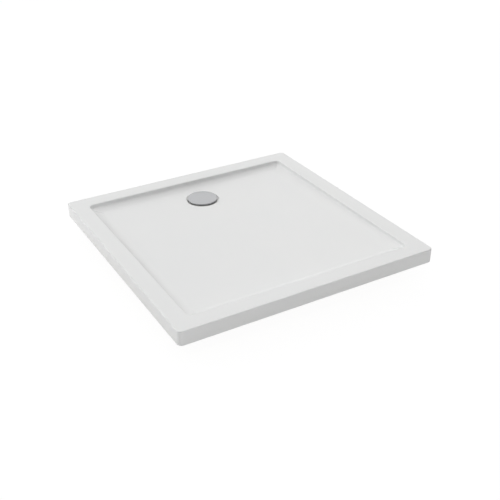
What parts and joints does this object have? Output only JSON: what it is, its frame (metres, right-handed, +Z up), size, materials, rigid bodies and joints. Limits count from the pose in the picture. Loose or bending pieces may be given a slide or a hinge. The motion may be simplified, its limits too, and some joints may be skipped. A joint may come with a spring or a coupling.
{
  "type": "shower tray",
  "caption": "Low square shower tray with a wide flat rim, a floor falling to a round chrome-capped waste near one edge, a shallow lift-out trap and screw feet.",
  "frame": {"origin": "on the floor under the middle of the tray, level with the soles of the feet at rest", "axes": "+Z up; +Y towards the edge beside the drain, which is the way the outlet pipe points; +X to the right seen from the front"},
  "size_m": [0.9, 0.9, 0.112],
  "materials": {
    "acrylic": "gloss",
    "glassfibre": "satin",
    "foam": "matte",
    "chipboard": "matte",
    "stainless": "satin",
    "chrome": "polished",
    "trap_plastic": "satin",
    "insert_plastic": "satin",
    "strainer_plastic": "satin",
    "pipe_plastic": "satin",
    "foot_plastic": "matte",
    "zinc_steel": "satin",
    "rubber": "matte"
  },
  "bodies": {
    "tray": {"tray_shell": "acrylic", "glassfibre_backing": "glassfibre", "foam_core": "foam", "base_board": "chipboard", "waste_flange": "stainless", "flange_gasket": "rubber", "body_gasket": "rubber", "flange_screws": "stainless", "trap_body": "trap_plastic", "trap_outlet": "trap_plastic", "outlet_pipe": "pipe_plastic", "outlet_seal": "rubber", "socket_screws": "zinc_steel", "foot_socket_front_left": "foot_plastic", "foot_socket_front_right": "foot_plastic", "foot_socket_middle": "foot_plastic", "foot_socket_back_left": "foot_plastic", "foot_socket_back_right": "foot_plastic", "lock_nut_front_left": "zinc_steel", "lock_nut_front_right": "zinc_steel", "lock_nut_middle": "zinc_steel", "lock_nut_back_left": "zinc_steel", "lock_nut_back_right": "zinc_steel"},
    "trap_insert": {"dip_tube": "insert_plastic", "trap_cup": "insert_plastic", "cup_seal": "rubber"},
    "strainer": {"hair_strainer": "strainer_plastic"},
    "cover": {"drain_cover": "chrome"},
    "hand_nut": {"outlet_nut": "trap_plastic"},
    "pad_front_left": {"foot_pad_front_left": "foot_plastic", "foot_grip_front_left": "rubber"},
    "stud_front_left": {"foot_stud_front_left": "zinc_steel"},
    "pad_front_right": {"foot_pad_front_right": "foot_plastic", "foot_grip_front_right": "rubber"},
    "stud_front_right": {"foot_stud_front_right": "zinc_steel"},
    "pad_middle": {"foot_pad_middle": "foot_plastic", "foot_grip_middle": "rubber"},
    "stud_middle": {"foot_stud_middle": "zinc_steel"},
    "pad_back_left": {"foot_pad_back_left": "foot_plastic", "foot_grip_back_left": "rubber"},
    "stud_back_left": {"foot_stud_back_left": "zinc_steel"},
    "pad_back_right": {"foot_pad_back_right": "foot_plastic", "foot_grip_back_right": "rubber"},
    "stud_back_right": {"foot_stud_back_right": "zinc_steel"}
  },
  "joints": [
    {"name": "insert_lift", "type": "slide", "parent": "tray", "child": "trap_insert", "axis": [0, 0, 1], "range_m": [0, 0.11]},
    {"name": "strainer_lift", "type": "slide", "parent": "trap_insert", "child": "strainer", "axis": [0, 0, 1], "range_m": [0, 0.05]},
    {"name": "cover_lift", "type": "slide", "parent": "strainer", "child": "cover", "axis": [0, 0, 1], "range_m": [0, 0.05]},
    {"name": "outlet_nut_turn", "type": "hinge", "parent": "tray", "child": "hand_nut", "pos_m": [0, 0.36, 0.035], "axis": [0, 1, 0], "continuous": true},
    {"name": "foot_height_front_left", "type": "slide", "parent": "tray", "child": "pad_front_left", "axis": [0, 0, -1], "range_m": [-0.005, 0.015]},
    {"name": "foot_turn_front_left", "type": "hinge", "parent": "pad_front_left", "child": "stud_front_left", "pos_m": [-0.33, -0.33, 0.03], "axis": [0, 0, 1], "range_deg": [-3700, 1300]},
    {"name": "foot_height_front_right", "type": "slide", "parent": "tray", "child": "pad_front_right", "axis": [0, 0, -1], "range_m": [-0.005, 0.015]},
    {"name": "foot_turn_front_right", "type": "hinge", "parent": "pad_front_right", "child": "stud_front_right", "pos_m": [0.33, -0.33, 0.03], "axis": [0, 0, 1], "range_deg": [-3700, 1300]},
    {"name": "foot_height_middle", "type": "slide", "parent": "tray", "child": "pad_middle", "axis": [0, 0, -1], "range_m": [-0.005, 0.015]},
    {"name": "foot_turn_middle", "type": "hinge", "parent": "pad_middle", "child": "stud_middle", "pos_m": [0, -0.06, 0.03], "axis": [0, 0, 1], "range_deg": [-3700, 1300]},
    {"name": "foot_height_back_left", "type": "slide", "parent": "tray", "child": "pad_back_left", "axis": [0, 0, -1], "range_m": [-0.005, 0.015]},
    {"name": "foot_turn_back_left", "type": "hinge", "parent": "pad_back_left", "child": "stud_back_left", "pos_m": [-0.33, 0.33, 0.03], "axis": [0, 0, 1], "range_deg": [-3700, 1300]},
    {"name": "foot_height_back_right", "type": "slide", "parent": "tray", "child": "pad_back_right", "axis": [0, 0, -1], "range_m": [-0.005, 0.015]},
    {"name": "foot_turn_back_right", "type": "hinge", "parent": "pad_back_right", "child": "stud_back_right", "pos_m": [0.33, 0.33, 0.03], "axis": [0, 0, 1], "range_deg": [-3700, 1300]}
  ],
  "couplings": [
    {"joint": "foot_turn_front_left", "follows": "foot_height_front_left", "rad_per_m": -4188.8},
    {"joint": "foot_turn_front_right", "follows": "foot_height_front_right", "rad_per_m": -4188.8},
    {"joint": "foot_turn_middle", "follows": "foot_height_middle", "rad_per_m": -4188.8},
    {"joint": "foot_turn_back_left", "follows": "foot_height_back_left", "rad_per_m": -4188.8},
    {"joint": "foot_turn_back_right", "follows": "foot_height_back_right", "rad_per_m": -4188.8}
  ]
}
